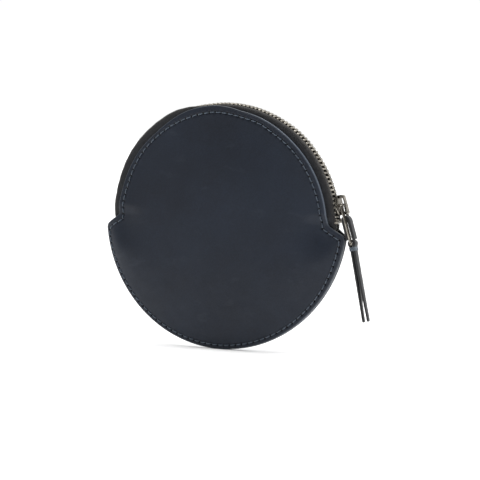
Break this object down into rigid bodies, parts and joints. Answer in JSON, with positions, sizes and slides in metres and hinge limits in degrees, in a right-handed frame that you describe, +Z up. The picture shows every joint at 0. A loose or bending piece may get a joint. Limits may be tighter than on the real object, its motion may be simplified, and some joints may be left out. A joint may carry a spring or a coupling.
{
  "type": "coin purse",
  "caption": "Round zip-top leather coin purse with a metal zip around the top, a hinged metal pull and a folded leather strap.",
  "frame": {"origin": "middle of the flat of the back panel, at the height of the rim circle's centre", "axes": "+X to the side where the closed zip's slider sits, +Y out of the back panel so that the front faces -Y, +Z up with the purse standing on its rim"},
  "size_m": [0.1321, 0.0136, 0.1113],
  "materials": {
    "leather": "smooth dark navy leather, fine grain, satin",
    "strap_leather": "smooth dark grey-navy leather strip, cut edges",
    "lining": "dark woven cotton lining",
    "thread": "blue-grey twisted sewing thread",
    "zip_tape": "dark charcoal herringbone zip tape",
    "zip_metal": "antique nickel zip teeth",
    "nickel": "polished warm nickel"
  },
  "bodies": {
    "shell": {"back_panel": "leather", "back_lining": "lining", "front_panel_lower": "leather", "front_lining_lower": "lining", "rim_thread_front": "thread", "rim_thread_back": "thread", "zip_thread_back": "thread", "zip_tape_back": "zip_tape", "zip_teeth_back": "zip_metal", "top_stop_back": "nickel", "bottom_stop": "nickel"},
    "front_flap": {"front_panel_upper": "leather", "front_lining_upper": "lining", "zip_thread_front": "thread", "zip_tape_front": "zip_tape", "zip_teeth_front": "zip_metal", "top_stop_front": "nickel"},
    "slider": {"slider_body": "nickel", "slider_cap": "nickel"},
    "pull": {"pull_frame": "nickel", "pull_tab": "strap_leather"},
    "strap": {"pull_strap": "strap_leather", "strap_tack": "thread"}
  },
  "joints": [
    {"name": "zip_run", "type": "hinge", "parent": "shell", "child": "slider", "pos_m": [0, -0.0065, -0.005], "axis": [0, -1, 0], "range_deg": [0, 155]},
    {"name": "mouth_open", "type": "hinge", "parent": "shell", "child": "front_flap", "pos_m": [0, -0.0065, -0.003], "axis": [1, 0, 0], "range_deg": [0, 15.5]},
    {"name": "pull_swing", "type": "hinge", "parent": "slider", "child": "pull", "pos_m": [0.05741, -0.0065, 0.00773], "axis": [0, -1, 0], "range_deg": [0, 150]},
    {"name": "strap_swing", "type": "hinge", "parent": "pull", "child": "strap", "pos_m": [0.06295, -0.0065, -0.00934], "axis": [0, -1, 0], "range_deg": [-25, 60]}
  ],
  "couplings": [
    {"joint": "mouth_open", "follows": "zip_run", "ratio": 0.1}
  ]
}
